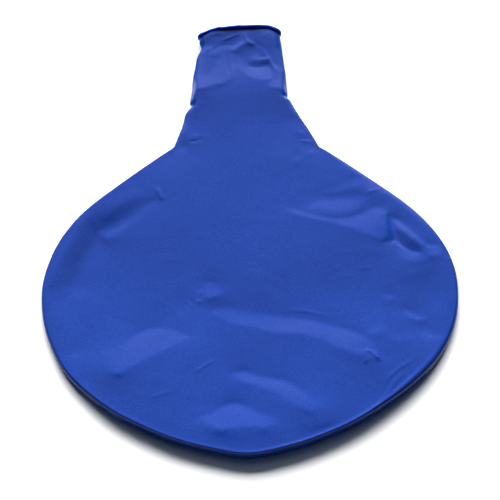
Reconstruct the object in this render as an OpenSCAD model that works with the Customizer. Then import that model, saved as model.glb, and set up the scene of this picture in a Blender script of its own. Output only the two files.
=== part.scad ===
// Giant round latex balloon, uninflated and lying flat.
//
// One dipped film makes the whole object. Its zones are separate nodes: the two flat walls of the
// round body, the fold that joins them round the edge, the crease band where the neck leaves the
// body, the two walls of the neck, and the rolled bead at the mouth in two halves.
//
// Frame: millimetres, +Z up, resting face at z = 0. +Y runs from the tip to the mouth, and the
// origin is under the middle of the bounding box.

/* [Body] */

// Flat width of the body, edge to edge
body_w = 320; // [300:1:340]

// Tip of the body to the crease at the root of the neck
body_l = 302; // [285:1:320]

// Thickness of the latex film
film_t = 0.35; // [0.3:0.05:0.6]

// Height of the flattened body a hand's width inside its edge
field_h = 4.6; // [4.2:0.1:5.5]

// Width of the folded band round the edge, as seen from above
band_w = 6; // [5:0.5:9]

/* [Neck] */

// Crease to the far side of the rolled bead
neck_l = 152; // [140:1:165]

// Flat width at the mouth, across the film
mouth_w = 72; // [66:1:80]

// Height of the open mouth, from the floor to the top of the bead
mouth_h = 14; // [13.2:0.1:16]

// Height of the flattened tube where the crease presses it together
crease_h = 4; // [3.6:0.1:4.4]

/* [Bead] */

// Thickness of the rolled bead
bead_d = 4.2; // [3.6:0.1:4.8]

/* [Clearance] */

// Gap kept between pieces that turn against each other
run_gap = 0.35; // [0.3:0.05:0.5]

/* [Hidden] */

$fn = 48;

total_l = body_l + neck_l;
sx = body_w / 320;
sy = body_l / 302;
steps = 4;                                  // outline points per span
body_end = body_l - crease_h / 2 - run_gap; // where the body's film stops, short of the crease axis

// Edge of the body, from the left end of the crease round the tip to the right end.
// Each point is [x, y from the tip, height of the edge fold].
edge_pts = [
  [-64, body_end / sy, crease_h], [-74, 290, 4.2], [-103, 262, 4.8], [-131, 232, 5.2], [-147, 206, 5.2],
  [-156.5, 180, 5], [-160, 152, 4.8], [-156, 120, 4.8], [-147, 94, 5], [-136, 73.5, 5.4],
  [-120, 54.8, 6], [-101, 38, 6.6], [-79, 24.8, 7], [-59, 14.8, 7.2], [-33, 6, 7.4],
  [-4, 0, 7.6],
  [25, 6.2, 7.4], [50, 15.4, 7.2], [72, 25.8, 7.2], [94, 40, 7.2], [114, 55.5, 6.8],
  [132, 74, 6], [145.5, 94.5, 5.6], [155.5, 120, 5.4], [160, 152, 5.2], [157, 180, 5.4],
  [147, 206, 5.4], [130, 232, 5.2], [102, 262, 4.8], [73, 290, 4.2], [63, body_end / sy, crease_h]
];

// Edge of the neck: [y from the tip, left half width, right half width].
neck_pts = [
  [302, 62, 62], [312, 56, 58], [330, 52, 51], [350, 48, 45], [370, 44, 42],
  [395, 42.5, 41], [415, 40, 39.5], [430, 37, 38.5], [442, 37, 38], [454, 36, 37]
];

// ---- smooth curves through hand-set points ----

function at(v, i) = v[max(0, min(len(v) - 1, i))];
function spline(a, b, c, d, t) =
  0.5 * (2 * b + (c - a) * t + (2 * a - 5 * b + 4 * c - d) * t * t
    + (3 * b - a - 3 * c + d) * t * t * t);
function span(v, i, t) = spline(at(v, i - 1), at(v, i), at(v, i + 1), at(v, i + 2), t);
function ease(t) = let (u = max(0, min(1, t))) u * u * (3 - 2 * u);
function mix(a, b, t) = a + (b - a) * t;

// ---- the body's outline, its inward normals and the line where walls meet the edge fold ----

last = len(edge_pts) - 1;
rim = [
  for (i = [0 : last - 1])
    for (j = [0 : steps - 1])
      let (p = span(edge_pts, i, j / steps)) [p.x * sx, p.y * sy, p.z],
  [edge_pts[last].x * sx, edge_pts[last].y * sy, edge_pts[last].z]
];
n_rim = len(rim);

// Inward normal: the outline runs anticlockwise seen from above, so inward is to the left.
function inward(i) =
  i == 0 ? [1.3, 0]
  : i == n_rim - 1 ? [-1.3, 0]
  : let (d = rim[i + 1] - rim[i - 1], l = norm([d.x, d.y])) [-d.y / l, d.x / l];
function rim_in(i, depth) = [rim[i].x, rim[i].y] + inward(i) * depth;

inner = [for (i = [0 : n_rim - 1]) rim_in(i, band_w)];

// ---- solids from rows of points ----

// Closed solid from rings of equal length: sides between rings, fans at both ends.
module loft(rings) {
  n = len(rings[0]);
  m = len(rings);
  pts = [for (r = rings) each r];
  sides = [
    for (k = [0 : m - 2])
      for (i = [0 : n - 1])
        let (a = k * n + i, b = k * n + (i + 1) % n)
          each [[a, b, b + n], [a, b + n, a + n]]
  ];
  // An end is a thin C-shaped strip, so it is closed pair by pair across its thickness.
  ends = [
    for (i = [0 : n / 2 - 2])
      each [
        [i, n - 1 - i, n - 2 - i], [i, n - 2 - i, i + 1],
        [(m - 1) * n + i, (m - 1) * n + n - 2 - i, (m - 1) * n + n - 1 - i],
        [(m - 1) * n + i, (m - 1) * n + i + 1, (m - 1) * n + n - 2 - i]
      ]
  ];
  polyhedron(points = pts, faces = concat(sides, ends), convexity = 8);
}

// Half-round fold: points from the lower lip round the outside to the upper lip, then back inside.
fold_steps = 6;
function fold_section(h, depth) = [
  for (i = [0 : fold_steps])
    let (a = -90 + 180 * i / fold_steps)
      [h / 2 * (1 - cos(a)), h / 2 * (1 + sin(a))],
  [depth, h],
  [depth, h - film_t],
  for (i = [fold_steps : -1 : 0])
    let (a = -90 + 180 * i / fold_steps, r = h / 2 - film_t)
      [h / 2 - r * cos(a), h / 2 + r * sin(a)]
];

module in_frame() {
  translate([0, -total_l / 2, 0]) children();
}

// ---- body ----

module lower_wall() {
  color([0.17, 0.31, 0.69])
    in_frame()
      linear_extrude(film_t)
        polygon(inner);
}

// Surface of the upper wall: the puffed rim drops into a trough, then a low field.
rings = [1, 0.955, 0.905, 0.84, 0.7, 0.5, 0.27];
centre = [0, 150 * sy];
cross_n = 11;
loop = concat(
  [for (i = [0 : n_rim - 1]) [inner[i].x, inner[i].y, rim[i].z]],
  [
    for (j = [1 : cross_n])
      let (t = j / (cross_n + 1))
        [mix(inner[n_rim - 1].x, inner[0].x, t), rim[0].y, crease_h]
  ]
);
function ring_h(edge_h, k) =
  k > 0.97 ? edge_h
  : k > 0.93 ? mix(edge_h, field_h, 0.35)
  : k > 0.88 ? field_h - 0.25
  : field_h + 0.25 * ease((0.88 - k) / 0.6);
function wall_ring(k, drop) = [
  for (p = loop)
    [mix(centre.x, p.x, k), mix(centre.y, p.y, k), ring_h(p.z, k) - drop]
];

module upper_wall() {
  n = len(loop);
  m = len(rings);
  top = [for (k = rings) each wall_ring(k, 0)];
  under = [for (k = rings) each wall_ring(k, film_t)];
  peak = [[centre.x, centre.y, ring_h(0, 0)], [centre.x, centre.y, ring_h(0, 0) - film_t]];
  c = 2 * n * m;
  skins = [
    for (k = [0 : m - 2])
      for (i = [0 : n - 1])
        let (a = k * n + i, b = k * n + (i + 1) % n, u = a + n * m, v = b + n * m)
          each [[a, b + n, b], [a, a + n, b + n], [u, v, v + n], [u, v + n, u + n]]
  ];
  caps = [
    for (i = [0 : n - 1])
      let (a = (m - 1) * n + i, b = (m - 1) * n + (i + 1) % n)
        each [[a, c, b], [a + n * m, b + n * m, c + 1]]
  ];
  border = [
    for (i = [0 : n - 1])
      let (a = i, b = (i + 1) % n)
        each [[a, b, b + n * m], [a, b + n * m, a + n * m]]
  ];
  color([0.19, 0.34, 0.72])
    in_frame()
      polyhedron(points = concat(top, under, peak), faces = concat(skins, caps, border), convexity = 8);
}

module edge_fold() {
  color([0.13, 0.25, 0.6])
    in_frame()
      loft([
        for (i = [0 : n_rim - 1])
          [
            for (q = concat([[band_w, film_t], [band_w, 0]], fold_section(rim[i].z, band_w)))
              let (p = rim_in(i, q.x)) [p.x, p.y, q.y]
          ]
      ]);
}

// ---- neck ----

split_h = crease_h / 2 + 0.1;               // height where the neck's two halves part
root_l = 8;                                 // crease axis to the end of the crease band
upper_y = body_l + root_l + 2 * run_gap;    // start of the upper wall, and its own hinge line
bead_r = bead_d / 2;
bead_y = total_l - bead_r;                  // centre line of the bead
film_end = bead_y - bead_r;                 // where the film runs into the bead
mx = mouth_w / 73;
ny = neck_l / 152;

function neck_y(y) = body_l + (y - 302) * ny;
function neck_scale(y) = mix(sx, mx, ease((y - 302) / 152));
function neck_find(y, i = 0) =
  i >= len(neck_pts) - 2 || y < neck_y(neck_pts[i + 1][0]) ? i : neck_find(y, i + 1);
function neck_half(y) =
  let (
    i = neck_find(y),
    y0 = neck_y(neck_pts[i][0]),
    y1 = neck_y(neck_pts[i + 1][0]),
    p = span(neck_pts, i, (y - y0) / (y1 - y0))
  )
    [p[1], p[2]] * neck_scale(p[0]);

// Lower film lies on the floor and climbs to the middle of the bead; upper film lifts to the mouth.
function floor_h(y) = (bead_r - film_t / 2) * ease((y - film_end + 16) / 16);
function roof_h(y) =
  crease_h + 0.9 * ease((y - body_l - 8) / 40)
    + (mouth_h - bead_r + film_t / 2 - crease_h - 0.9) * ease((y - film_end + 66) / 70);

neck_stations = [
  for (y = [upper_y : (film_end - upper_y) / 22 : film_end - 0.01]) y,
  film_end
];
arc_steps = 7;

// Half of a flattened tube between z = low and z = high, open on the side of the split.
// The edge turns through a tight fold; the middle is flat below and arched above.
function half_section(y, low, high, grow, sign) = [
  for (i = [0 : 2 * arc_steps])
    let (
      a = 180 * i / (2 * arc_steps),
      w = neck_half(y),
      side = cos(a) < 0 ? -w[0] : w[1],
      c = pow(abs(cos(a)), 0.42),
      s = pow(sin(a), 0.5),
      reach = abs(side) + grow
    )
      [sign(side) * reach * c, y, low + (high - low + sign(high - low) * grow) * s]
];
function sign(v) = v < 0 ? -1 : 1;

function shell_ring(y, low, high, sign_) =
  let (
    outer = half_section(y, low, high, 0, sign_),
    inner_ = half_section(y, low, high, -film_t, sign_),
    n = len(outer)
  )
    concat(outer, [for (i = [n - 1 : -1 : 0]) inner_[i]]);

module neck_lower_wall() {
  start = body_l + root_l;
  ys = concat([start], neck_stations);
  color([0.16, 0.3, 0.67])
    in_frame()
      loft([
        for (i = [len(ys) - 1 : -1 : 0])
          shell_ring(ys[i], split_low(ys[i]), floor_h(ys[i]), -1)
      ]);
}

module neck_upper_wall() {
  color([0.2, 0.35, 0.73])
    in_frame()
      loft([for (y = neck_stations) shell_ring(y, split_high(y), roof_h(y), 1)]);
}

// The parting plane follows the middle of the tube as the mouth lifts off the floor.
function parting(y) = mix(split_h, mouth_mid, ease((y - film_end + 66) / 70));
mouth_mid = mouth_h * 0.42;
function split_low(y) = parting(y) - run_gap / 2;
function split_high(y) = parting(y) + run_gap / 2;

// Crease band: the tube pressed flat, with a rounded nose about the crease axis.
module band_profile(grow, length) {
  translate([0, crease_h / 2]) circle(r = crease_h / 2 + grow);
  translate([0, -grow]) square([length, crease_h + 2 * grow]);
}
module band_plan(inset) {
  ys = [for (i = [0 : 4]) body_l - crease_h + (root_l + crease_h) * i / 4];
  polygon(concat(
    [for (y = ys) [neck_half(max(y, body_l))[1] - inset, y]],
    [for (i = [4 : -1 : 0]) [inset - neck_half(max(ys[i], body_l))[0], ys[i]]]
  ));
}
module band_core(grow, length, inset) {
  intersection() {
    translate([-body_w, body_l, 0])
      rotate([90, 0, 90])
        linear_extrude(2 * body_w) band_profile(grow, length);
    translate([0, 0, -1])
      linear_extrude(crease_h + 2) band_plan(inset);
  }
}
module crease_band() {
  color([0.12, 0.23, 0.56])
    in_frame()
      difference() {
        band_core(0, root_l, 0);
        band_core(-film_t, root_l + 1, film_t);
      }
}

// ---- rolled bead ----

bead_sides = 14;
bead_stations = 24;

// Centre line of half of the bead: an arch of the mouth's shape, from right to left.
function bead_path(low, high) = [
  for (i = [0 : bead_stations])
    let (
      a = 180 * i / bead_stations,
      w = neck_half(total_l),
      half = (cos(a) < 0 ? w[0] : w[1]) + film_t - bead_r * 0.2
    )
      [sign(cos(a)) * half * pow(abs(cos(a)), 0.55), low + (high - low) * pow(sin(a), 0.62)]
];
module bead_half(low, high) {
  path = bead_path(low, high);
  n = len(path);
  ring_pts = [
    for (i = [0 : n - 1])
      let (
        d = path[min(n - 1, i + 1)] - path[max(0, i - 1)],
        e = i == 0 || i == n - 1 ? [1, 0] : [d.y, -d.x] / norm(d) * sign(high - low)
      )
        [
          for (j = [0 : bead_sides - 1])
            let (b = 360 * j / bead_sides, q = path[i] + e * bead_r * cos(b))
              [q.x, bead_y + bead_r * sin(b), q.y]
        ]
  ];
  tube(ring_pts, high < low);
}

// Round bar through rings of equal length, with flat ends.
module tube(rings_, flip) {
  n = len(rings_[0]);
  m = len(rings_);
  sides = [
    for (k = [0 : m - 2])
      for (i = [0 : n - 1])
        let (a = k * n + i, b = k * n + (i + 1) % n)
          each [[a, b, b + n], [a, b + n, a + n]]
  ];
  ends = [
    [for (i = [n - 1 : -1 : 0]) i],
    [for (i = [0 : n - 1]) (m - 1) * n + i]
  ];
  faces_ = concat(sides, ends);
  polyhedron(
    points = [for (r = rings_) each r],
    faces = flip ? [for (f = faces_) [for (i = [len(f) - 1 : -1 : 0]) f[i]]] : faces_,
    convexity = 8
  );
}

module bead_lower_half() {
  color([0.06, 0.14, 0.38])
    in_frame() bead_half(split_low(bead_y), bead_r);
}

module bead_upper_half() {
  color([0.08, 0.17, 0.44])
    in_frame() bead_half(split_high(bead_y), mouth_h - bead_r);
}

lower_wall();
upper_wall();
edge_fold();
crease_band();
neck_lower_wall();
neck_upper_wall();
bead_lower_half();
bead_upper_half();
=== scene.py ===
"""Giant round latex balloon, uninflated and lying flat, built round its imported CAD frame.

Plan coordinates are millimetres: x to the right, y from the tip of the body to the mouth, z up.
"""

import math

import bmesh
import bpy
import numpy as np
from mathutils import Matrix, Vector
from mathutils.kdtree import KDTree


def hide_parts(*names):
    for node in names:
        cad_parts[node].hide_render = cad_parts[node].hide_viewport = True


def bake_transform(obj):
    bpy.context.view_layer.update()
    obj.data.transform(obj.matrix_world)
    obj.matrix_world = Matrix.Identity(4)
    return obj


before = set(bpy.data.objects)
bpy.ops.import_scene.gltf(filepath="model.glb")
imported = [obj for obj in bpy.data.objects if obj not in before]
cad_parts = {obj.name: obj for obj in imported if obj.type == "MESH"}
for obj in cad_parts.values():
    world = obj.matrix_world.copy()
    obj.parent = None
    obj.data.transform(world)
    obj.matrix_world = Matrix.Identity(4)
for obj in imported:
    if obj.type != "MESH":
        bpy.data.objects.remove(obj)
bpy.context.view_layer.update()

MM = 0.001
FILM = 0.35          # film thickness
LENGTH = 454.0       # tip to the far side of the bead
CREASE = 302.0       # neck fold
SEAM = 310.7         # where the body's skin hands over to the neck's, on the mouth's own hinge line
FILM_END = 449.8     # where the film runs into the bead
BEAD_R = 2.35
BEAD_Y = 451.2       # centre line of the bead
BEAD_TOP = 11.0      # height of its upper centre line
FIELD = 3.2          # height of the flattened body at its middle
NECK_ROOT = 4.0      # height of the neck at its root
RISE_FROM = 306.0    # where the neck's top begins to rise to the mouth
PART_H = 2.1         # height at which the film parts along the sides of the flat neck
PART_FROM = 330.0    # where that height begins to rise to the mouth
PART_SLOPE = 0.0255


# ---------------------------------------------------------------- curves and falloffs

def ease(t):
    """0 up to t = 0 and 1 from t = 1, with a smooth change between."""
    t = np.clip(t, 0.0, 1.0)
    return t * t * (3 - 2 * t)


def mix(a, b, t):
    """a where t is 0 and b where t is 1."""
    return a + (b - a) * t


def on_neck(y):
    """0 on the body and 1 on the neck, with a smooth change about the crease."""
    return ease((y - 290) / 30)


def spline(points, per_span):
    """Catmull-Rom curve through rows of numbers."""
    p = np.array(points, float)
    p = np.vstack([2 * p[0] - p[1], p, 2 * p[-1] - p[-2]])
    t = (np.arange(per_span) / per_span)[:, None]
    out = []
    for a, b, c, d in zip(p[:-3], p[1:-2], p[2:-1], p[3:]):
        out.append(0.5 * (2 * b + (c - a) * t + (2 * a - 5 * b + 4 * c - d) * t**2
                          + (3 * b - a - 3 * c + d) * t**3))
    return np.vstack(out + [p[-2][None]])


def resample(curve, step):
    """The same curve with points a step apart, measured in plan."""
    run = np.concatenate([[0], np.cumsum(np.hypot(*np.diff(curve[:, :2], axis=0).T))])
    n = max(2, int(round(run[-1] / step)))
    stops = np.linspace(0, run[-1], n + 1)
    return np.stack([np.interp(stops, run, column) for column in curve.T], axis=1)


def closed_resample(path, n):
    """A closed curve in space with n points, evenly spaced."""
    ring = np.vstack([path, path[:1]])
    run = np.concatenate([[0], np.cumsum(np.linalg.norm(np.diff(ring, axis=0), axis=1))])
    stops = np.linspace(0, run[-1], n, endpoint=False)
    return np.stack([np.interp(stops, run, column) for column in ring.T], axis=1)


# ---------------------------------------------------------------- outline

# Edge of the body from the left kink round the tip to the right kink: x, y, height of the fold,
# how far in its top is, and depth of the trough just inside it.
BODY_EDGE = [
    (-62.5, 301.5, 4.0, 2.0, 0.0), (-66, 298.4, 4.0, 2.0, 0.0), (-75, 290, 4.2, 1.8, 0.0),
    (-103.5, 262, 4.8, 1.7, 0.1), (-131.5, 232, 5.2, 1.7, 0.6), (-147.5, 206, 5.2, 1.8, 0.4),
    (-156.5, 180, 5.0, 2.0, 0.4), (-160, 152, 4.8, 2.2, 0.4), (-156, 120, 4.8, 2.4, 0.7),
    (-147, 94, 5.0, 2.4, 0.5), (-136, 73.2, 5.6, 2.4, 0.2), (-120, 54.5, 6.3, 2.4, 0.1),
    (-101, 38, 6.8, 2.2, 0.1), (-79, 24.6, 7.1, 2.0, 0.1), (-59, 14.6, 7.2, 2.0, 0.1),
    (-33, 5.8, 7.3, 1.9, 0.1), (-5, 0.6, 7.4, 1.8, 0.1), (25, 6.2, 7.4, 1.9, 0.1),
    (50, 15.0, 7.4, 2.0, 0.1), (72, 25.4, 7.4, 2.3, 0.1), (94, 39.4, 7.4, 3.0, 0.1),
    (114, 55, 7.2, 4.2, 0.2), (132, 73.5, 6.6, 4.4, 0.4), (145.5, 94.5, 6.0, 3.8, 0.8),
    (155.5, 120, 5.6, 3.0, 1.0), (160, 152, 5.4, 2.8, 0.9), (157, 180, 5.4, 3.0, 0.2),
    (147, 206, 5.4, 4.5, 0.0), (130, 232, 5.2, 7.0, 0.0), (102.5, 262, 4.8, 7.0, 0.0),
    (75, 290, 4.2, 3.5, 0.0), (67.5, 296.8, 4.0, 2.0, 0.0), (64, 299.8, 4.0, 2.0, 0.0),
]
# Sides of the neck, with the small kinks and the notch under the bead: y, distance from the axis.
NECK_LEFT = [
    (304, 60.6), (308, 59.4), (316, 57.2), (326, 54.4), (334, 52.7), (340, 51.8), (344, 50.8),
    (348, 48.6), (351.5, 46.2), (354, 46.0), (356.5, 47.0), (361, 46.8), (372, 45.5), (382, 45),
    (392, 44.2), (402, 42.7), (412, 41.6), (417, 40.8), (421, 39.4), (425, 37.8), (429, 37.0),
    (433, 37.2), (438, 38), (442, 38.6), (448, 38.4), (454, 38),
]
NECK_RIGHT = [
    (302.2, 62.8), (306, 61.6), (314, 58.8), (324, 55), (334, 50.8), (344, 46.9), (352, 44),
    (356, 42.7), (358.6, 41.5), (360.4, 39.7), (362.5, 39.3), (365, 40), (372, 39.9), (382, 39.7),
    (392, 39.6), (402, 39.1), (412, 38.6), (425, 38), (436, 37.6), (446, 37.3), (454, 37),
]


def parting(y):
    """Height of the neck's side folds, where its halves part: one plane that rises to the mouth."""
    return PART_H + PART_SLOPE * np.maximum(y - PART_FROM, 0)


def floor_h(y):
    """Underside of the neck: on the floor, then up to the middle of the bead."""
    climb = 16.0
    return (BEAD_R - FILM / 2) * ease((y - FILM_END + climb) / climb)


def roof_h(y):
    """Top of the neck: rising slowly, then faster to the open mouth."""
    u = np.clip((y - RISE_FROM) / (FILM_END - RISE_FROM), 0, 1)
    lag = 0.1
    climb = 0.75 * (u - lag * (1 - np.exp(-u / lag))) + 0.325 * u**3
    return NECK_ROOT + (BEAD_TOP + FILM / 2 - NECK_ROOT) * climb


def outline():
    """Whole edge, left end of the mouth round the tip to the right end: x, y, then the heights
    of the edge itself, the top and the bottom, how far in the top is, and the trough's depth."""
    def neck(side, y, w):
        mid, top = parting(y), roof_h(y)
        # the top's edge moves in as the flat tube turns into the mouth's arch
        arch_from, arch_length, arch_inset = 345, 90, 15.0
        inset = mix(top - mid, arch_inset, ease((y - arch_from) / arch_length))
        return (side * w, y, mid, top, floor_h(y), inset, 0.0)

    def body(x, y, top, inset, trough):
        # halfway up where the fold is low, and near the floor where it is tall
        mid = mix(top / 2, PART_H, ease((top - 5) / 2))
        return (x, y, mid, top, 0.0, inset, trough)

    rows = [neck(-1, y, w) for y, w in reversed(NECK_LEFT)]
    rows += [body(*row) for row in BODY_EDGE]
    rows += [neck(1, y, w) for y, w in NECK_RIGHT]
    return resample(spline(rows, 24), 0.5)


EDGE = outline()
_tree = KDTree(len(EDGE))
for _i, _p in enumerate(EDGE):
    _tree.insert((_p[0], _p[1], 0.0), _i)
_tree.balance()


def to_edge(x, y):
    """Distance from the outline, and the rest of the nearest outline point's row."""
    near = np.array([_tree.find((a, b, 0.0))[1] for a, b in zip(x, y)])
    best = np.full(len(x), 1e9)
    row = np.zeros((len(x), EDGE.shape[1] - 2))
    for step in (-1, 0):
        i = np.clip(near + step, 0, len(EDGE) - 2)
        a, b = EDGE[i], EDGE[i + 1]
        ab = b[:, :2] - a[:, :2]
        ap = np.stack([x, y], 1) - a[:, :2]
        t = np.clip((ap * ab).sum(1) / np.maximum((ab * ab).sum(1), 1e-9), 0, 1)
        d = np.hypot(*(ap - ab * t[:, None]).T)
        closer = d < best
        best = np.where(closer, d, best)
        row = np.where(closer[:, None], mix(a[:, 2:], b[:, 2:], t[:, None]), row)
    return best, row


# ---------------------------------------------------------------- relief of the upper film

def beside(x, y, path):
    """Signed distance from a path (positive on its left), run along it, and its length."""
    pts = np.array(path, float)
    seg = np.diff(pts, axis=0)
    length = np.hypot(*seg.T)
    start = np.concatenate([[0], np.cumsum(length)])
    best = np.full(x.shape, 1e9)
    side = np.zeros(x.shape)
    run = np.zeros(x.shape)
    for k, (p, s, n) in enumerate(zip(pts[:-1], seg, length)):
        rx, ry = x - p[0], y - p[1]
        t = np.clip((rx * s[0] + ry * s[1]) / n**2, 0, 1)
        d = np.hypot(rx - s[0] * t, ry - s[1] * t)
        cross = (s[0] * ry - s[1] * rx) / n
        closer = d < best
        best = np.where(closer, d, best)
        side = np.where(closer, np.where(cross < 0, -d, d), side)
        run = np.where(closer, start[k] + t * n, run)
    return side, run, start[-1]


def fold_line(x, y, path, height, near, far, fade=0.3):
    """A soft ridge, or a valley where height is negative, with its own width on each side. Each
    end fades out over a share of the length."""
    path = spline(path, 6)
    side, run, length = beside(x, y, path)
    width = np.where(side < 0, near, far)
    ends = ease(run / (length * fade)) * ease((length - run) / (length * fade))
    return height * ends * np.exp(-(side / width) ** 2)


def bump_at(x, y, cx, cy, rx, ry, turn, height):
    """A soft oval swell, or a dent where height is negative."""
    c, s = math.cos(math.radians(turn)), math.sin(math.radians(turn))
    u = ((x - cx) * c + (y - cy) * s) / rx
    v = (-(x - cx) * s + (y - cy) * c) / ry
    return height * np.exp(-(u * u + v * v))


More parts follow.
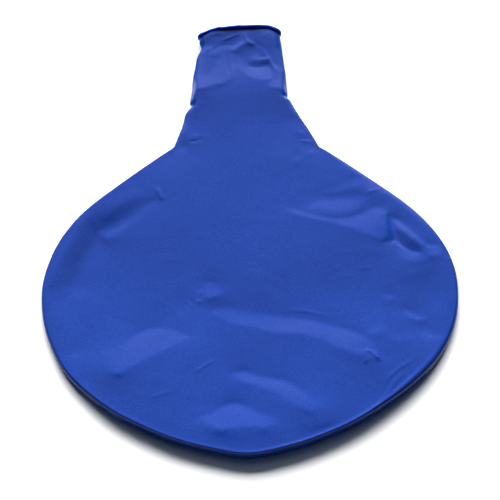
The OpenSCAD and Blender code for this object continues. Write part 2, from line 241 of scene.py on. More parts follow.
# Facets of the slack film: outline in plan, slope, the way it faces (degrees, 90 is the mouth's
# side) and softness of its edges. Those that face the mouth catch the light; the others are darker.
FACETS = [
    # long low swells across the body
    ([(-103, 79), (-99, 70), (-88, 76), (-78, 83), (-68, 89), (-58, 96), (-46, 103), (-56, 109),
      (-66, 114), (-80, 111), (-91, 101)], 0.118, 92, 1.1),
    ([(-33, 128), (-20, 131), (-5, 127), (10, 124), (25, 121), (42, 117), (58, 111), (72, 105),
      (84, 97), (90, 90), (90, 78), (82, 80), (74, 83), (62, 89), (50, 98), (36, 103), (18, 105),
      (0, 112), (-14, 115)], 0.116, 90, 1.0),
    ([(-16, 69), (-8, 72), (4, 67), (13, 65), (23, 61), (33, 53), (43, 41), (41, 33), (34, 36),
      (25, 42), (17, 50), (6, 56), (4, 58), (-7, 62)], 0.138, 88, 0.9),
    ([(-41, 32), (-30, 36), (-22, 42), (-14, 44), (-6, 40), (4, 34), (11, 31), (9, 22), (-5, 23),
      (-16, 22), (-28, 22)], 0.152, 90, 1.0),
    # right shoulder
    ([(48, 231), (60, 238), (76, 239), (92, 237), (96, 234), (87, 224), (74, 221), (60, 224)],
      0.11, 90, 2.8),
    ([(84, 221), (90, 224), (98, 236), (100, 233), (94, 222)], 0.10, 280, 1.2),
    ([(32, 228), (36, 229), (50, 223), (66, 217), (66, 212), (48, 218), (36, 224)], 0.11, 80, 0.9),
    ([(64, 215), (82, 217), (94, 222), (103, 227), (109, 226), (109, 212), (107, 198), (106, 190),
      (97, 196), (86, 203), (74, 208)], 0.125, 90, 1.1),
    ([(110, 220), (114.5, 219), (116, 206), (115.5, 193), (111.5, 191), (110, 205)], 0.42, 352,
      0.7),
    ([(116, 213), (119, 215), (128, 204), (136, 193), (141, 186), (137, 184), (129, 194),
      (121, 205)], 0.18, 70, 1.0),
    ([(117, 203), (121, 202), (129, 192), (136, 184), (135, 178), (127, 181), (119, 192)], 0.28,
      225, 1.1),
    ([(107, 190), (113, 190), (119, 183), (127, 177), (138, 176), (140, 171), (130, 168),
      (120, 172), (112, 181)], 0.12, 85, 1.1),
    ([(137, 176), (138, 185), (152, 186), (152, 180), (145, 173)], 0.20, 88, 1.1),
    ([(60, 246), (80, 252), (97, 261), (118, 245), (106, 243), (90, 251), (76, 247)], 0.08, 90,
      1.8),
    ([(114, 124), (119, 122), (129, 115), (127, 112), (119, 115)], 0.13, 90, 0.9),
    ([(102, 138), (108, 136), (106, 132)], 0.13, 90, 0.8),
    ([(100, 101), (112, 98), (113, 93), (102, 94)], 0.08, 90, 1.5),
    ([(88, 94), (92, 100), (99, 98), (99, 85), (94, 79), (90, 84)], 0.07, 275, 1.8),
    # slack film in front of the swells
    ([(36, 31), (44, 35), (50, 30), (44, 24), (34, 25)], 0.0, 90, 2.0),
    ([(94, 195), (105, 188), (112, 188), (110, 179), (96, 184)], 0.0, 90, 2.0),
    ([(120, 170), (131, 166), (142, 169), (143, 160), (120, 161)], 0.0, 90, 2.0),
    # left of the middle
    ([(-37, 155), (-30, 156), (-23, 148), (-26, 143), (-34, 141), (-32, 148)], 0.13, 90, 0.8),
    ([(-68, 114), (-58, 128), (-50, 138), (-46, 134), (-56, 122), (-62, 112)], 0.07, 95, 2.0),
    # left shoulder: the trough inside the puffed edge, its dark wall and its pale near side
    ([(-121, 220), (-112, 229), (-100, 239), (-88, 245), (-82, 241), (-89, 232), (-102, 220),
      (-112, 214)], 0.165, 293, 2.2),
    ([(-133, 222), (-128, 222), (-123, 212), (-121, 200), (-124, 188), (-129, 178), (-131, 166),
      (-134, 154), (-148, 154), (-151, 162), (-148, 176), (-142, 192), (-138, 205)], 0.33, 328,
      2.4),
    ([(-134, 154), (-137, 142), (-138, 128), (-135, 112), (-130, 95), (-134, 92), (-142, 108),
      (-147, 128), (-149, 146), (-149, 154)], 0.13, 318, 2.6),
    ([(-119, 210), (-112, 203), (-100, 211), (-86, 224), (-74, 238), (-80, 239), (-92, 230),
      (-108, 215)], 0.08, 100, 1.8),
    # right side
    ([(150, 172), (143, 170), (139, 150), (140, 125), (132, 105), (140, 100), (146, 118),
      (149, 145)], 0.13, 232, 2.2),
    # neck: the tent-shaped swell, its strips, and the dark pocket
    ([(-44, 379), (-42, 371.5), (-36, 369.5), (-30, 373), (-24, 376), (-18, 375), (-13, 380),
      (-9, 387), (-5, 394.5), (-2, 396.5), (3, 392), (8, 385.5), (14, 381.5), (22, 380.5),
      (25, 382.5), (26, 400.5), (14, 399.5), (8, 397.5), (3, 405), (0, 411.5), (-4, 417),
      (-10, 419), (-4, 423.5), (-6, 428), (-12, 430), (-20, 428), (-26, 421.5), (-28, 411.5),
      (-30, 400.5), (-34, 391), (-41, 384.5)], 0.15, 90, 1.0),
    ([(24, 371.5), (30, 369.5), (37, 370.5), (37, 380), (31, 382.5), (26, 378)], 0.12, 90, 0.8),
    ([(26.5, 391.5), (30, 389.5), (37, 387), (38, 383), (27, 383.5)], 0.0, 90, 0.9),
    ([(27, 406), (31, 399.5), (36, 389), (36, 385.5), (30, 385.5), (27.5, 393.5)], 0.1, 90, 0.8),
    ([(11.5, 428), (15, 426), (20, 418), (24, 411), (22, 408), (11.5, 408)], 0.15, 85, 0.8),
    ([(-8, 419), (-3, 423.5), (4, 428.5), (10.5, 428), (10.5, 410), (9, 400.5), (4, 405),
      (0, 413)], 0.22, 312, 1.2),
    ([(7, 400), (9, 407.5), (20, 408), (23, 403), (15, 398.5)], 0.19, 275, 1.0),
    ([(-17, 373.5), (-11, 380), (-7, 387), (-4, 394), (-1, 395.5), (3, 391), (8, 384), (14, 380.5),
      (20, 379), (20, 368), (0, 364), (-17, 367)], 0.0, 90, 0.8),
    ([(-39, 420), (-31, 419), (-27, 423.5), (-21, 429.5), (-12, 431.5), (-6, 430), (-3, 436),
      (-8, 441), (-20, 437), (-37, 442)], 0.02, 270, 1.0),
    ([(-18, 430), (-11, 433), (-4, 435.5), (-3, 440.5), (-10, 437.5), (-19, 433)], 0.06, 285, 0.9),
    ([(5.5, 437.5), (6, 444), (14, 446), (16, 442), (10, 438.5)], 0.06, 275, 1.2),
    ([(-46, 386), (-38, 390), (-33, 397), (-30, 408), (-29, 416), (-31, 421), (-38, 422),
      (-42, 410), (-45, 398)], 0.06, 270, 1.3),
    ([(28, 409), (22, 420), (24, 434), (34, 434), (37, 416), (37, 397.5), (32, 401)], 0.08, 300,
      1.5),
    ([(-39, 367.5), (-28, 362), (-26, 345), (-32, 342), (-38, 352)], 0.045, 270, 2.5),
    ([(28, 366), (38, 362), (40, 352), (28, 340), (22, 348)], 0.045, 270, 2.5),
    ([(-50, 336), (-46, 322), (-38, 317), (-40, 312), (-50, 318)], 0.06, 90, 1.6),
    ([(-58, 303), (-50, 304), (-47, 308), (-51, 312), (-53, 322), (-57, 320), (-59, 310)], 0.18,
      215, 1),
    ([(42, 322), (45, 333), (49, 324), (54, 315), (49, 316)], 0.07, 80, 1),
    ([(50, 293), (57, 296), (63, 299), (65, 295), (54, 290)], 0.06, 90, 1),
    ([(39, 280), (46, 290), (45, 284)], 0.08, 90, 0.8),
]

# Fine creases: path in plan, height, width on its right, width on its left, and sometimes the share
# of its length over which each end fades. Paths from left to right have the mouth on their left.
FOLDS = [
    # left shoulder and left of the middle
    ([(-75, 257), (-72, 248), (-68, 240)], 0.55, 2.0, 2.4),
    ([(-50, 139), (-45, 134)], 0.35, 1.2, 1.4),
    ([(-42, 139), (-37, 136)], 0.35, 1.2, 1.4),
    # right shoulder
    ([(98, 242), (106, 246), (114, 248)], 0.4, 1.6, 1.6),
    # zigzag at the end of the long swell, and the lines that leave the rim at the right front
    ([(80, 80), (84, 84), (87, 82), (90, 78), (94, 74)], 0.5, 1.3, 1.5),
    ([(80, 73), (83, 78)], 0.3, 1.2, 1.2),
    ([(78, 31), (88, 40), (96, 50), (103, 60), (111, 68)], 0.4, 2.0, 1.5),
    ([(92, 55), (98, 62), (107, 70), (118, 77)], 0.35, 1.3, 1.3),
    # faint lines
    ([(22, 128), (42, 125), (62, 118)], 0.2, 1.6, 1.6),
    ([(-45, 70), (-27, 83)], 0.25, 1.6, 1.6),
    ([(-76, 49), (-57, 55)], 0.2, 1.6, 1.6),
    ([(82, 163), (98, 165)], 0.15, 1.6, 1.6),
    # neck: the crooked ridge from the bead to the right side, and short creases
    ([(1, 446), (3.5, 442.5), (4.5, 438), (6, 433.5), (9.5, 430), (14, 427.5), (17.5, 423.5),
      (21.5, 417), (25, 409), (28, 401.5), (31.5, 395.5), (36, 388)], 0.65, 3.4, 1.5, 0.12),
    ([(-19, 434.5), (-8, 439.5), (1, 443)], 0.4, 1.3, 1.5),
    ([(21, 436.5), (27, 445)], 0.35, 1.6, 1.6),
    ([(31, 423.5), (33, 434.5)], 0.25, 1.6, 1.6),
    ([(-38, 415), (-33, 420), (-28, 426.5)], 0.45, 1.6, 1.6),
    ([(-14, 420), (-13, 402), (-11, 386.5)], -0.3, 1.3, 1.3),
    ([(-24, 407), (-28, 393.5), (-34, 383.5)], -0.25, 1.6, 1.6),
    ([(-5, 410.5), (-7, 399.5), (-13, 390)], -0.2, 1.2, 1.2),
    ([(26, 401), (26.5, 392), (26, 382.5)], -0.3, 1.2, 1.2),
    ([(-50, 309), (-43, 308), (-36, 313)], -0.35, 2, 2),
    ([(46, 306), (55, 305), (62, 301)], 0.3, 2, 2),
]
# Small dents: middle, half lengths along and across, turn and height.
DENTS = [
    (-45, 137, 2.2, 2.0, 0, -0.3),
    (-40, 150, 2.5, 2.5, 0, -0.3),
    (20, 412, 4, 1.6, 0, -0.25),
]

NECK_LIFT = 0.9      # how far the facets' fall towards the mouth is made up for beforehand
GRID = 0.5           # spacing of the grid on which the relief is worked out
COARSE = 4           # and of its coarser copy, in steps of the fine one
GRID_X = np.arange(-176, 176, GRID)
GRID_Y = np.arange(-20, 480, GRID)


def blur(field, sigma):
    """Gaussian blur of a grid, with sigma in millimetres of the fine grid."""
    reach = int(3 * sigma / GRID + 1)
    k = np.exp(-0.5 * (np.arange(-reach, reach + 1) * GRID / sigma) ** 2)
    k /= k.sum()
    for axis in (0, 1):
        field = np.apply_along_axis(np.convolve, axis, field, k, "same")
    return field


def cover(points, soft):
    """1 inside an outline, 0 outside, with a soft edge, over the whole grid."""
    def near(line, values):
        middle, half = (values.min() + values.max()) / 2, np.ptp(values) / 2
        return np.where(np.abs(line - middle) < half + 3 * soft + 1)[0]

    pts = spline(points + points[:1], 4)
    i, j = near(GRID_X, pts[:, 0]), near(GRID_Y, pts[:, 1])
    x, y = np.meshgrid(GRID_X[i], GRID_Y[j])
    odd = np.zeros(x.shape, bool)
    for a, b in zip(pts[:-1], pts[1:]):
        if a[1] != b[1]:
            crossing = a[0] + (b[0] - a[0]) * (y - a[1]) / (b[1] - a[1])
            odd ^= ((a[1] > y) != (b[1] > y)) & (x < crossing)
    out = np.zeros((len(GRID_Y), len(GRID_X)))
    out[j[0]:j[-1] + 1, i[0]:i[-1] + 1] = blur(odd.astype(float), soft)
    return out


def sample(grid, x, y, every=1):
    """Value of a grid between its points; a coarser grid has one point in every few."""
    u = np.clip((x - GRID_X[0]) / (GRID * every), 0, grid.shape[1] - 1.001)
    v = np.clip((y - GRID_Y[0]) / (GRID * every), 0, grid.shape[0] - 1.001)
    i, j = u.astype(int), v.astype(int)
    u, v = u - i, v - j
    return mix(mix(grid[j, i], grid[j, i + 1], u), mix(grid[j + 1, i], grid[j + 1, i + 1], u), v)


def coarse_fields(soft=7.0, sink=130.0, held=8.0):
    """The film's broad height, which sinks from the edge to the field and has no crease where
    opposite edges are as near; then where the film is held in place, and where the body is."""
    x, y = np.meshgrid(GRID_X[::COARSE], GRID_Y[::COARSE])
    d, edge = to_edge(x.ravel(), y.ravel())
    d, top = d.reshape(x.shape), edge[:, 1].reshape(x.shape)
    z = FIELD + (top - FIELD) * (1 - ease(d / sink))
    z = mix(z, roof_h(y), on_neck(y))
    root = 300           # from here on the neck's film is held as a whole
    return blur(z, soft / COARSE), (d < held) | (y > root), (y < root)


def spread(values, fixed, rounds=1500):
    """Values of the fixed points spread smoothly over the rest."""
    z = np.where(fixed, values, 0.0)
    for _ in range(rounds):
        around = sum(np.roll(z, step, axis) for axis in (0, 1) for step in (1, -1)) / 4
        z = np.where(fixed, values, around)
    return z


def facet_relief(fixed, on_body, reach=50.0, rounds=10, even=3.0):
    """Height over the grid whose slope follows the facets and is as small as it can be elsewhere;
    the whole then sinks or rises gently, evened out over a few millimetres, so that the edge fold
    stays where it is. The second time round, the facets make up for the slope that this adds."""
    share = np.zeros((len(GRID_Y), len(GRID_X)))
    want_x, want_y = np.zeros_like(share), np.zeros_like(share)
    for points, slope, facing, soft in FACETS:
        mask = cover(points, soft)
        want_x -= slope * math.cos(math.radians(facing)) * mask
        want_y -= slope * math.sin(math.radians(facing)) * mask
        share = np.maximum(share, mask)
    kx = 2 * math.pi * np.fft.rfftfreq(len(GRID_X), GRID)[None, :]
    ky = 2 * math.pi * np.fft.fftfreq(len(GRID_Y), GRID)[:, None]
    soften = 1 / (kx**2 + ky**2 + reach**-2)
    x, y = np.meshgrid(GRID_X, GRID_Y)
    sunk_x, sunk_y = 0.0, 0.0
    for _ in range(2):
        aim_x, aim_y = want_x - share * sunk_x, want_y - share * sunk_y
        push_x, push_y = aim_x.copy(), aim_y.copy()
        for _ in range(rounds):
            spectrum = -1j * (kx * np.fft.rfft2(push_x) + ky * np.fft.rfft2(push_y)) * soften
            z = np.fft.irfft2(spectrum, s=share.shape)
            slope_y, slope_x = np.gradient(z, GRID)
            push_x += (aim_x - slope_x) * share
            push_y += (aim_y - slope_y) * share
        values = np.where(on_body, -z[::COARSE, ::COARSE], 0.0)
        settling = sample(blur(spread(values, fixed), even / COARSE), x, y, COARSE)
        sunk_y, sunk_x = np.gradient(settling, GRID)
    return z + settling


BROAD, _fixed, _on_body = coarse_fields()
RELIEF = facet_relief(_fixed, _on_body)


# Waves of the slack film: length and height, each with a few headings and phases.
_rng = np.random.default_rng(7)
_WAVES = [
    (wave, amount, _rng.uniform(0, math.pi), _rng.uniform(0, 2 * math.pi))
    for wave, amount, count in ((105, 0.07, 5), (62, 0.03, 6), (31, 0.012, 7), (15, 0.005, 7))
    for _ in range(count)
]


def slack(x, y, sway=5.0, sway_rate=2.1):
    """Low, irregular undulation of film that nothing holds tight: waves whose crests sway."""
    z = np.zeros(x.shape)
    for wave, amount, heading, phase in _WAVES:
        u = x * math.cos(heading) + y * math.sin(heading)
        v = -x * math.sin(heading) + y * math.cos(heading)
        crest = u + sway * np.sin(v / wave * sway_rate)
        z += amount * np.sin(2 * math.pi * crest / wave + phase)
    return z


TROUGH_IN, TROUGH_WIDTH = 26.0, 12.0     # distance of the trough from the edge, and its width
LIP_WIDTH = 1.5                          # small crest where the front of the fold turns inwards
LEAST = 0.8                              # least height of the upper film over the lower
GIVE = 0.4                               # height over which it comes to rest there


def heights(x, y):
    """Top and bottom of the balloon's outer surface at plan points."""
    d, edge = to_edge(x, y)
    mid, top, low, inset, depth = edge.T
    neck = on_neck(y)
    open_end = ease((y - FILM_END + 60) / 56)      # 1 at the open mouth
    front = ease((top - 5.8) / 1.4) * (1 - neck)   # 1 where the edge fold is tall

    # edge fold: half round at the sides, squarer and upright at the front, an arch at the mouth
    power = mix(2.0, 2.8, front)
    step, ledge = 0.7 * front, 0.8 * front
    foot = np.clip(d / np.maximum(step, 0.01), 0, 1)
    t = np.clip((d - step) / (inset - step), 0, 1)
    ridge = (mid + ledge * np.sqrt(1 - (1 - foot) ** 2)
             + (top - mid - ledge) * (1 - (1 - t) ** power) ** (1 / power))

    # inside the fold: the film stays near the fold's height, then sinks slowly to the field
    field = sample(BROAD, x, y, COARSE)
    inside = np.maximum(d - inset, 0)
    base = mix(ridge, np.where(d < inset, ridge, field), ease(inside / 10))
    trough = -depth * np.exp(-((d - TROUGH_IN) / TROUGH_WIDTH) ** 2)
    lip = mix(0.22, 0.5, ease((x + 20) / 50)) * front * t * np.exp(-(inside / LIP_WIDTH) ** 2)

    relief = slack(x, y) + sample(RELIEF, x, y) + NECK_LIFT * ease((y - 305) / 75)
    for path, *shape in FOLDS:
        relief = relief + fold_line(x, y, path, *shape)
    for dent in DENTS:
        relief = relief + bump_at(x, y, *dent)
    settle = mix(ease((d - 1.0) / 8.0), ease((d - 0.5) / 5.0), neck)     # 0 at the edge
    end = ease((FILM_END + 2 - y) / 14)                                  # 0 at the bead
    z_top = base + lip + trough * settle + relief * settle * end
    # film that would sink to the lower wall comes to rest on it softly
    least = np.minimum(base, low + LEAST)
    give = 0.02 + GIVE * settle
    z_top = least + give * np.logaddexp(0, (z_top - least) / give)

    # the lower film turns up to the edge in a quarter round, a wide one at the mouth
    mouth_round = 8.0
    round_low = mix(np.maximum(mid - low, 0.1), mouth_round, open_end)
    t = np.clip(d / round_low, 0, 1)
    z_low = mid - (mid - low) * np.sqrt(np.maximum(0, 1 - (1 - t) ** 2))
    return np.maximum(z_top, z_low), z_low


# ---------------------------------------------------------------- meshes

def to_world(x, y, z):
    """Rows of metres in the frame, from plan coordinates."""
    return np.stack([x * MM, (y - LENGTH / 2) * MM, z * MM], axis=1)


def new_piece(name, verts, faces):
    """A linked object with its faces turned outwards and no loose vertices."""
    mesh = bpy.data.meshes.new(name)
    mesh.from_pydata([tuple(v) for v in verts], [], faces)
    mesh.validate()
    mesh.update()
    piece = bpy.data.objects.new(name, mesh)
    bpy.context.scene.collection.objects.link(piece)
    work = bmesh.new()
    work.from_mesh(mesh)
    bmesh.ops.delete(work, geom=[v for v in work.verts if not v.link_faces], context="VERTS")
    bmesh.ops.recalc_face_normals(work, faces=work.faces)
    work.to_mesh(mesh)
    work.free()
    return piece


def smooth(piece, angle=50):
    """Smooth shading, except where faces meet more sharply than an angle in degrees."""
    piece.data.shade_smooth()
    piece.data.set_sharp_from_angle(angle=math.radians(angle))


def apply_modifiers(piece):
    """The piece's mesh replaced by what its modifiers make of it."""
    graph = bpy.context.evaluated_depsgraph_get()
    mesh = bpy.data.meshes.new_from_object(piece.evaluated_get(graph))
    piece.modifiers.clear()
    old = piece.data
    piece.data = mesh
    bpy.data.meshes.remove(old)
    mesh.name = piece.name


def cut_line(y):
    """Where the outline crosses a line of constant y on the neck: left x, right x."""
    found = []
    for side in (EDGE[:, 0] < 0, EDGE[:, 0] >= 0):
        rows = EDGE[side & (EDGE[:, 1] > CREASE - 4)]
        rows = rows[np.argsort(rows[:, 1])]
        found.append(np.interp(y, rows[:, 1], rows[:, 0]))
    return found


def body_skin():
    """The flattened body: an upper and a lower sheet that meet in the edge fold, and a cap at the
    seam."""
    keep = EDGE[:, 1] < SEAM
    first, last = np.argmax(keep), len(keep) - 1 - np.argmax(keep[::-1])
    arc = EDGE[first:last + 1, :2]
    xl, xr = cut_line(SEAM)
    arc = resample(np.vstack([[(xl, SEAM)], arc, [(xr, SEAM)]]), 1.2)
    widest = 8                                  # the spokes' number has to divide by this
    n_seam = 96 + (-len(arc)) % widest
    seam = np.stack([np.linspace(xr, xl, n_seam + 2)[1:-1], np.full(n_seam, SEAM)], 1)
    loop = np.vstack([arc, seam])
    n, n_arc = len(loop), len(arc)
    centre = np.array([2.0, 152.0])             # where the spokes meet

    # rings by distance in from the edge on a spoke of middling length; the spokes thin out inwards
    spoke = 160.0
    near = [0.0, 0.05, 0.18, 0.4, 0.66, 0.76, 0.84, 0.95, 1.15, 1.4, 1.7, 2.0, 2.35, 2.7, 3.1, 3.6,
            4.3, 5.2, 6.3, 7.4]
    low = [0.7, 1.05, 1.4, 1.9, 2.6, 3.6, 5.5, 9, 14, 22, 34, 50, 70, 95, 120, 145]
    top_rings = np.array(near + list(np.linspace(8.6, spoke - 3, 118))) / spoke
    low_rings = np.array(near[:4] + low) / spoke

    def stride(ring):
        return 1 if ring < 0.5 else 2 if ring < 0.75 else 4 if ring < 0.875 else widest

    plan, faces, tips, starts = [], [], [], []
    count = 0
    for sheet, rings in enumerate((top_rings, low_rings)):
        rows = []
        for ring in rings:
            step = stride(ring)
            pts = loop[::step] + (centre - loop[::step]) * ring
            plan.append(np.column_stack([pts, np.full(len(pts), sheet)]))
            rows.append((count, step))
            count += len(pts)
        starts.append(rows[0][0])
        tips.append(count)
        plan.append([[centre[0], centre[1], sheet]])
        count += 1

        def vertex(row, i):
            # the lower sheet shares the upper one's edge, except along the seam
            start, step = row
            i %= n
            if sheet and row is rows[0] and i < n_arc:
                return i
            return start + i // step

        for outer, inner in zip(rows[:-1], rows[1:]):
            for i in range(0, n, inner[1]):
                j = i + inner[1]
                a, b = vertex(outer, i), vertex(inner, i)
                c, d = vertex(inner, j), vertex(outer, j)
                if outer[1] == inner[1]:
                    faces.append((a, b, c, d))
                else:
                    k = vertex(outer, i + outer[1])
                    faces += [(a, b, k), (k, b, c), (k, c, d)]
        step = rows[-1][1]
        for i in range(0, n, step):
            faces.append((vertex(rows[-1], i), tips[-1], vertex(rows[-1], i + step)))

    for i in range(n_arc - 1, n):
        j = (i + 1) % n
        cap = [i, j, j if j < n_arc else starts[1] + j, i if i < n_arc else starts[1] + i]
        cap = list(dict.fromkeys(cap))
        if len(cap) > 2:
            faces.append(tuple(cap))

    plan = np.vstack(plan)
    x, y, low_sheet = plan.T
    z_top, z_low = heights(x, y)
    z = np.where(low_sheet > 0, z_low, z_top)
    z[:n_arc] = to_edge(arc[:, 0], arc[:, 1])[1][:, 0]
    piece = new_piece("body_skin", to_world(x, y, z), faces)
    smooth(piece)
    return piece


def mouth_bend(x):
    """How far the ends of the mouth curl towards the body; the left one goes further."""
    return 1.6 * ease((2 - x) / 22) + 5.2 * ease((-x - 20) / 18) + 4.0 * ease((x - 24) / 14)


def neck_skin():
    """The neck: one open tube of film from the seam to the bead, with its true wall thickness."""
    rows = np.concatenate([np.arange(SEAM, FILM_END - 0.5, 1.1), [FILM_END + 0.3]])
    # points across half of the neck, closer together at its side
    middle = 40.0
    near = [0.0, 0.05, 0.2, 0.45, 0.8, 1.25, 1.8, 2.5, 3.3, 4.3]
    half = np.concatenate([near, np.linspace(5.4, middle, 30)])
    half = half / middle
    across = np.concatenate([half, 2 - half[-2::-1]]) / 2      # 0 at the left edge, 1 at the right
    pts, zs = [], []
    for y in rows:
        xl, xr = cut_line(y)
        x = mix(xl, xr, across)
        z_top, z_low = heights(x, np.full(x.shape, y))
        mid = to_edge(x[[0, -1]], np.array([y, y]))[1][:, 0]
        z_top[[0, -1]] = mid
        pts.append(np.concatenate([x, x[-2:0:-1]]))
        zs.append(np.concatenate([z_top, z_low[-2:0:-1]]))
    n = len(pts[0])
    x = np.concatenate(pts)
    y = np.repeat(rows, n)
    bend_from, bend_length = 424, 26
    y = y - mouth_bend(x) * ease((y - bend_from) / bend_length)
    faces = [
        (k * n + i, k * n + (i + 1) % n, (k + 1) * n + (i + 1) % n, (k + 1) * n + i)
        for k in range(len(rows) - 1) for i in range(n)
    ]
    piece = new_piece("neck_skin", to_world(x, y, np.concatenate(zs)), faces)
    # an open tube has no inside to find, so its faces are turned outwards by its top
    top = max(piece.data.polygons, key=lambda p: p.center.z)
    if top.normal.z < 0:
        piece.data.flip_normals()
    wall = piece.modifiers.new("wall", "SOLIDIFY")
    wall.thickness = FILM * MM
    wall.offset = -1
    wall.use_even_offset = False
    apply_modifiers(piece)
    smooth(piece)
    return piece


def bead_ring():
    """The rolled bead: a thick cord of film round the slack mouth, tighter at its left end."""
    n, sides = 260, 20
    left, right = 37.8, 36.4                    # half widths
    flat_x, flat_z = 0.6, 0.62                  # powers below 1 square off the oval
    a = np.linspace(0, 2 * math.pi, 220, endpoint=False)
    cos, sin = np.cos(a), np.sin(a)
    half = np.where(cos < 0, left, right)
    x = np.sign(cos) * half * np.abs(cos) ** flat_x
    mid = parting(BEAD_Y)
    arch = BEAD_TOP - 0.7 * ease((-x - 4) / 28)     # a little lower towards the left
    up = np.abs(sin) ** flat_z
    z = np.where(sin >= 0, mid + (arch - mid) * up, mid + (BEAD_R - mid) * up)
    y = BEAD_Y - mouth_bend(x)
    path = np.stack([x, y, z], 1)
    for _ in range(3):
        path = (np.roll(path, 1, 0) + 2 * path + np.roll(path, -1, 0)) / 4
    path = closed_resample(path, n)
    along = np.roll(path, -1, 0) - np.roll(path, 1, 0)
    along /= np.linalg.norm(along, axis=1)[:, None]
    back = np.tile([0.0, 1.0, 0.0], (n, 1))
    out = np.cross(along, back)
    out /= np.linalg.norm(out, axis=1)[:, None]
    back = np.cross(out, along)
    run = np.arange(n) / n * 2 * math.pi
    verts = []
    for k in range(sides):
        b = 2 * math.pi * k / sides
        # not quite round: rolled film is flatter where it leaves the neck
        r = BEAD_R * (1 + 0.035 * np.sin(run * 9 + b) + 0.03 * np.sin(run * 17 + 2 * b + 1)
                      - 0.05 * max(0.0, -math.cos(b - 0.6)))
        verts.append(path + out * (r * math.sin(b))[:, None] + back * (r * math.cos(b))[:, None])
    verts = np.stack(verts, 1).reshape(-1, 3)
    verts[:, 2] = np.maximum(verts[:, 2], 0.0)
    faces = [
        (i * sides + k, i * sides + (k + 1) % sides,
         ((i + 1) % n) * sides + (k + 1) % sides, ((i + 1) % n) * sides + k)
        for i in range(n) for k in range(sides)
    ]
    piece = new_piece("bead_roll", to_world(*verts.T), faces)
    piece.data.shade_smooth()
    return piece


# ---------------------------------------------------------------- materials

def latex(name, base, pale, roughness, gloss):
    """Dipped latex: even colour, a trace of powder in cloudy patches, and a fine orange peel."""
    mat = bpy.data.materials.new(name)
    mat.use_nodes = True
    nodes, links = mat.node_tree.nodes, mat.node_tree.links
    nodes.clear()

    def add(kind, inputs=None, **settings):
        node = nodes.new(kind)
        for key, value in settings.items():
            setattr(node, key, value)
        for socket, value in (inputs or {}).items():
            node.inputs[socket].default_value = value
        return node

    out = add("ShaderNodeOutputMaterial")
    skin = add("ShaderNodeBsdfPrincipled", {"Specular IOR Level": gloss, "IOR": 1.52})
    links.new(skin.outputs[0], out.inputs[0])

    place = add("ShaderNodeTexCoord")
    cloud = add("ShaderNodeTexNoise", {"Scale": 28, "Detail": 6, "Roughness": 0.62})
    grain = add("ShaderNodeTexNoise", {"Scale": 950, "Detail": 3})
    peel = add("ShaderNodeTexNoise", {"Scale": 240, "Detail": 4})
    for texture in (cloud, grain, peel):
        links.new(place.outputs["Object"], texture.inputs["Vector"])

    # powder: patches, with specks all over
    patches = add("ShaderNodeMapRange", {"From Min": 0.35, "From Max": 0.75})
    links.new(cloud.outputs["Fac"], patches.inputs["Value"])
    specks = add("ShaderNodeMapRange",
                 {"From Min": 0.35, "From Max": 0.65, "To Min": 0.0, "To Max": 0.9})
    links.new(grain.outputs["Fac"], specks.inputs["Value"])
    powder = add("ShaderNodeMath", {1: 0.25}, operation="MULTIPLY_ADD", use_clamp=True)
    links.new(patches.outputs[0], powder.inputs[0])
    links.new(specks.outputs[0], powder.inputs[2])

    colour = add("ShaderNodeMix", {"A": (*base, 1), "B": (*pale, 1)}, data_type="RGBA")
    links.new(powder.outputs[0], colour.inputs["Factor"])
    links.new(colour.outputs["Result"], skin.inputs["Base Color"])

    rough = add("ShaderNodeMapRange", {"To Min": roughness - 0.05, "To Max": roughness + 0.07})
    links.new(powder.outputs[0], rough.inputs["Value"])
    links.new(rough.outputs[0], skin.inputs["Roughness"])

    relief = add("ShaderNodeMath", {1: 0.35}, operation="MULTIPLY_ADD")
    links.new(grain.outputs["Fac"], relief.inputs[0])
    links.new(peel.outputs["Fac"], relief.inputs[2])
    bump = add("ShaderNodeBump", {"Strength": 0.10, "Distance": 0.0006})
    links.new(relief.outputs[0], bump.inputs["Height"])
    links.new(bump.outputs[0], skin.inputs["Normal"])
    return mat


def let_light_through(mat):
    """Light from behind glows through the thick roll of film."""
    skin = mat.node_tree.nodes["Principled BSDF"]
    skin.inputs["Subsurface Weight"].default_value = 0.8
    skin.inputs["Subsurface Radius"].default_value = (0.2, 0.5, 1.0)
    skin.inputs["Subsurface Scale"].default_value = 0.006


# ---------------------------------------------------------------- the pieces, in place of the imported parts

film = latex("latex_film", (0.0040, 0.0255, 0.180), (0.0085, 0.0375, 0.238), 0.20, 0.3)
thick = latex("latex_bead", (0.002, 0.030, 0.260), (0.004, 0.038, 0.31), 0.36, 0.08)
let_light_through(thick)

body = body_skin()
neck = neck_skin()
bead = bead_ring()
for piece, material in ((body, film), (neck, film), (bead, thick)):
    piece.data.materials.clear()
    piece.data.materials.append(material)


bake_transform(body)
for piece in (neck, bead):
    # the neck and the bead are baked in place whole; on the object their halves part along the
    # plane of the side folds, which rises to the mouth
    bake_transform(piece)
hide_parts("lower_wall", "upper_wall", "edge_fold", "crease_band")
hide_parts("neck_lower_wall", "neck_upper_wall")
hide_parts("bead_lower_half", "bead_upper_half")


# ---------------------------------------------------------------- stage, light and camera

def stage():
    """A plain pale floor, well past the picture's edges."""
    mesh = bpy.data.meshes.new("floor")
    half = 6.0
    corners = [(x * half, y * half, 0) for x, y in ((-1, -1), (1, -1), (1, 1), (-1, 1))]
    mesh.from_pydata(corners, [], [(0, 1, 2, 3)])
    floor = bpy.data.objects.new("floor", mesh)
    bpy.context.scene.collection.objects.link(floor)
    mat = bpy.data.materials.new("floor_white")
    mat.use_nodes = True
    shader = mat.node_tree.nodes["Principled BSDF"]
    shader.inputs["Base Color"].default_value = (0.86, 0.86, 0.86, 1)
    shader.inputs["Roughness"].default_value = 0.9
    shader.inputs["Specular IOR Level"].default_value = 0.1
    mesh.materials.append(mat)


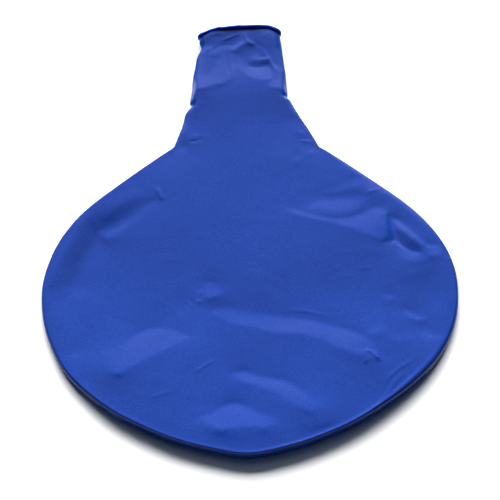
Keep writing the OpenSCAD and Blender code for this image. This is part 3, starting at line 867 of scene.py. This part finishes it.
def softbox(name, elevation, reach, width, height, power, glossy=True):
    """A soft light behind the balloon, on the mouth's side, turned to the middle of the floor."""
    data = bpy.data.lights.new(name, "AREA")
    data.shape = "RECTANGLE"
    data.size, data.size_y = width, height
    data.energy = power
    lamp = bpy.data.objects.new(name, data)
    bpy.context.scene.collection.objects.link(lamp)
    up = math.radians(elevation)
    aside = -0.12
    lamp.location = (aside, reach * math.cos(up), reach * math.sin(up))
    lamp.rotation_euler = (-lamp.location).to_track_quat("-Z", "Y").to_euler()
    lamp.visible_glossy = glossy


def sky(light, seen):
    """Faint blue light from all round, and plain white where the camera sees past the floor."""
    world = bpy.data.worlds.new("studio")
    bpy.context.scene.world = world
    world.use_nodes = True
    nodes, links = world.node_tree.nodes, world.node_tree.links
    nodes.clear()
    out = nodes.new("ShaderNodeOutputWorld")
    pick = nodes.new("ShaderNodeMixShader")
    path = nodes.new("ShaderNodeLightPath")
    soft, plain = nodes.new("ShaderNodeBackground"), nodes.new("ShaderNodeBackground")
    soft.inputs["Color"].default_value = (0.40, 0.65, 1.25, 1)
    soft.inputs["Strength"].default_value = light
    plain.inputs["Color"].default_value = (1, 1, 1, 1)
    plain.inputs["Strength"].default_value = seen
    links.new(path.outputs["Is Camera Ray"], pick.inputs[0])
    links.new(soft.outputs[0], pick.inputs[1])
    links.new(plain.outputs[0], pick.inputs[2])
    links.new(pick.outputs[0], out.inputs[0])


stage()
# the key lights the film; the other two are seen in it, as the low glints and the broad sheen
softbox("key", 23.5, 8.0, 9.8, 3.4, 3640, glossy=False)
softbox("glint", 30.0, 7.7, 7.2, 3.13, 46)
softbox("sheen", 53.8, 8.0, 8.0, 3.49, 44.5)
sky(0.055, 1.0)

SENSOR = 36.0        # millimetres
FOCAL = 2.2702       # focal length as a share of the picture's width
camera_data = bpy.data.cameras.new("camera")
camera_data.sensor_width = SENSOR
camera_data.lens = SENSOR * FOCAL
camera = bpy.data.objects.new("camera", camera_data)
bpy.context.scene.collection.objects.link(camera)
camera.location = (-0.0172, -0.6162, 0.6894)
aim = Vector((0.0009, -0.0380, 0.0))
camera.rotation_euler = (aim - camera.location).to_track_quat("-Z", "Y").to_euler()
bpy.context.scene.camera = camera
bpy.context.scene.view_settings.view_transform = "Standard"
bpy.context.scene.view_settings.look = "None"
